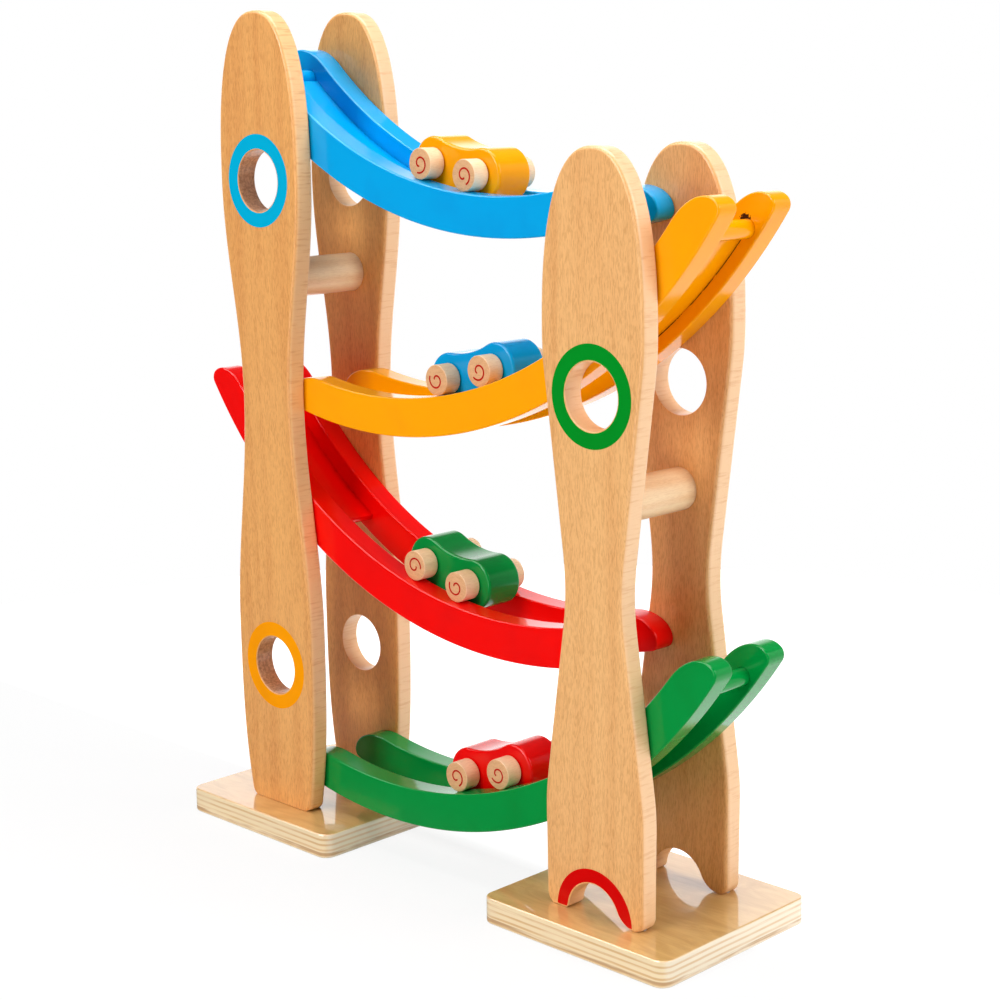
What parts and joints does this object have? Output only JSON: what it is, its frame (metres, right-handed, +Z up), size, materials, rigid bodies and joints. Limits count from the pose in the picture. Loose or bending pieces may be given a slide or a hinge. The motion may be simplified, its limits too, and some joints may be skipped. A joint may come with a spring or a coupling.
{
  "type": "wooden ramp racer toy",
  "caption": "Wooden zig-zag ramp racer: two beech towers on plywood feet hold curved painted tracks, one above the other, with small painted cars rolling on dowel wheels.",
  "frame": {"origin": "on the floor, below the middle of the tracks and midway between the front and back panels", "axes": "+X from the tall tower to the low tower, +Y from the front panels to the back panels, +Z up"},
  "size_m": [0.3242, 0.098, 0.4],
  "materials": {
    "beech": "clear lacquered beech with fine flecks",
    "birch_plywood": "varnished birch plywood with bare layered edges",
    "steel": "plain drawn steel",
    "blue_lacquer": "gloss blue lacquer on wood",
    "yellow_lacquer": "gloss amber yellow lacquer on wood",
    "red_lacquer": "gloss red lacquer on wood",
    "green_lacquer": "gloss green lacquer on wood"
  },
  "bodies": {
    "stand": {"left_plywood_foot": "birch_plywood", "right_plywood_foot": "birch_plywood", "left_front_panel": "beech", "left_back_panel": "beech", "right_front_panel": "beech", "right_back_panel": "beech", "left_tie_dowel": "beech", "right_tie_dowel": "beech", "left_foot_screws": "steel", "right_foot_screws": "steel", "green_front_rail": "green_lacquer", "green_back_rail": "green_lacquer", "red_front_rail": "red_lacquer", "red_back_rail": "red_lacquer", "yellow_front_rail": "yellow_lacquer", "yellow_back_rail": "yellow_lacquer", "blue_front_rail": "blue_lacquer", "blue_back_rail": "blue_lacquer", "green_spacer_dowel": "green_lacquer", "red_spacer_dowel": "red_lacquer", "yellow_spacer_dowel": "yellow_lacquer", "blue_spacer_dowel": "blue_lacquer", "red_landing_deck": "red_lacquer", "yellow_landing_deck": "yellow_lacquer", "blue_landing_deck": "blue_lacquer", "left_front_rail_pins": "beech", "left_back_rail_pins": "beech", "right_front_rail_pins": "beech", "right_back_rail_pins": "beech"},
    "red_car": {"red_car_body": "red_lacquer"},
    "red_car_left_wheelset": {"red_car_left_axle": "steel", "red_car_left_front_wheel": "beech", "red_car_left_back_wheel": "beech"},
    "red_car_right_wheelset": {"red_car_right_axle": "steel", "red_car_right_front_wheel": "beech", "red_car_right_back_wheel": "beech"},
    "green_car": {"green_car_body": "green_lacquer"},
    "green_car_left_wheelset": {"green_car_left_axle": "steel", "green_car_left_front_wheel": "beech", "green_car_left_back_wheel": "beech"},
    "green_car_right_wheelset": {"green_car_right_axle": "steel", "green_car_right_front_wheel": "beech", "green_car_right_back_wheel": "beech"},
    "blue_car": {"blue_car_body": "blue_lacquer"},
    "blue_car_left_wheelset": {"blue_car_left_axle": "steel", "blue_car_left_front_wheel": "beech", "blue_car_left_back_wheel": "beech"},
    "blue_car_right_wheelset": {"blue_car_right_axle": "steel", "blue_car_right_front_wheel": "beech", "blue_car_right_back_wheel": "beech"},
    "yellow_car": {"yellow_car_body": "yellow_lacquer"},
    "yellow_car_left_wheelset": {"yellow_car_left_axle": "steel", "yellow_car_left_front_wheel": "beech", "yellow_car_left_back_wheel": "beech"},
    "yellow_car_right_wheelset": {"yellow_car_right_axle": "steel", "yellow_car_right_front_wheel": "beech", "yellow_car_right_back_wheel": "beech"}
  },
  "joints": [
    {"name": "red_car_roll", "type": "hinge", "parent": "stand", "child": "red_car", "pos_m": [-0.0384, 0, 0.2589], "axis": [0, 1, 0], "range_deg": [-33, 23]},
    {"name": "red_car_left_wheels_turn", "type": "hinge", "parent": "red_car", "child": "red_car_left_wheelset", "pos_m": [0.00577, 0, 0.04864], "axis": [0, 1, 0], "continuous": true},
    {"name": "red_car_right_wheels_turn", "type": "hinge", "parent": "red_car", "child": "red_car_right_wheelset", "pos_m": [0.03274, 0, 0.05617], "axis": [0, 1, 0], "continuous": true},
    {"name": "green_car_roll", "type": "hinge", "parent": "stand", "child": "green_car", "pos_m": [0.0384, 0, 0.3525], "axis": [0, -1, 0], "range_deg": [-36.5, 19]},
    {"name": "green_car_left_wheels_turn", "type": "hinge", "parent": "green_car", "child": "green_car_left_wheelset", "pos_m": [-0.01987, 0, 0.1457], "axis": [0, -1, 0], "continuous": true},
    {"name": "green_car_right_wheels_turn", "type": "hinge", "parent": "green_car", "child": "green_car_right_wheelset", "pos_m": [0.00752, 0, 0.13988], "axis": [0, -1, 0], "continuous": true},
    {"name": "blue_car_roll", "type": "hinge", "parent": "stand", "child": "blue_car", "pos_m": [-0.0384, 0, 0.4461], "axis": [0, 1, 0], "range_deg": [-35, 20.5]},
    {"name": "blue_car_left_wheels_turn", "type": "hinge", "parent": "blue_car", "child": "blue_car_left_wheelset", "pos_m": [-0.0027, 0, 0.23424], "axis": [0, 1, 0], "continuous": true},
    {"name": "blue_car_right_wheels_turn", "type": "hinge", "parent": "blue_car", "child": "blue_car_right_wheelset", "pos_m": [0.02455, 0, 0.24068], "axis": [0, 1, 0], "continuous": true},
    {"name": "yellow_car_roll", "type": "hinge", "parent": "stand", "child": "yellow_car", "pos_m": [0.0384, 0, 0.5397], "axis": [0, -1, 0], "range_deg": [-29, 16.5]},
    {"name": "yellow_car_left_wheels_turn", "type": "hinge", "parent": "yellow_car", "child": "yellow_car_left_wheelset", "pos_m": [-0.01043, 0, 0.33047], "axis": [0, -1, 0], "continuous": true},
    {"name": "yellow_car_right_wheels_turn", "type": "hinge", "parent": "yellow_car", "child": "yellow_car_right_wheelset", "pos_m": [0.0172, 0, 0.3259], "axis": [0, -1, 0], "continuous": true}
  ],
  "couplings": [
    {"joint": "red_car_left_wheels_turn", "follows": "red_car_roll", "ratio": -31.714},
    {"joint": "red_car_right_wheels_turn", "follows": "red_car_roll", "ratio": -31.714},
    {"joint": "green_car_left_wheels_turn", "follows": "green_car_roll", "ratio": -31.714},
    {"joint": "green_car_right_wheels_turn", "follows": "green_car_roll", "ratio": -31.714},
    {"joint": "blue_car_left_wheels_turn", "follows": "blue_car_roll", "ratio": -31.714},
    {"joint": "blue_car_right_wheels_turn", "follows": "blue_car_roll", "ratio": -31.714},
    {"joint": "yellow_car_left_wheels_turn", "follows": "yellow_car_roll", "ratio": -31.714},
    {"joint": "yellow_car_right_wheels_turn", "follows": "yellow_car_roll", "ratio": -31.714}
  ]
}
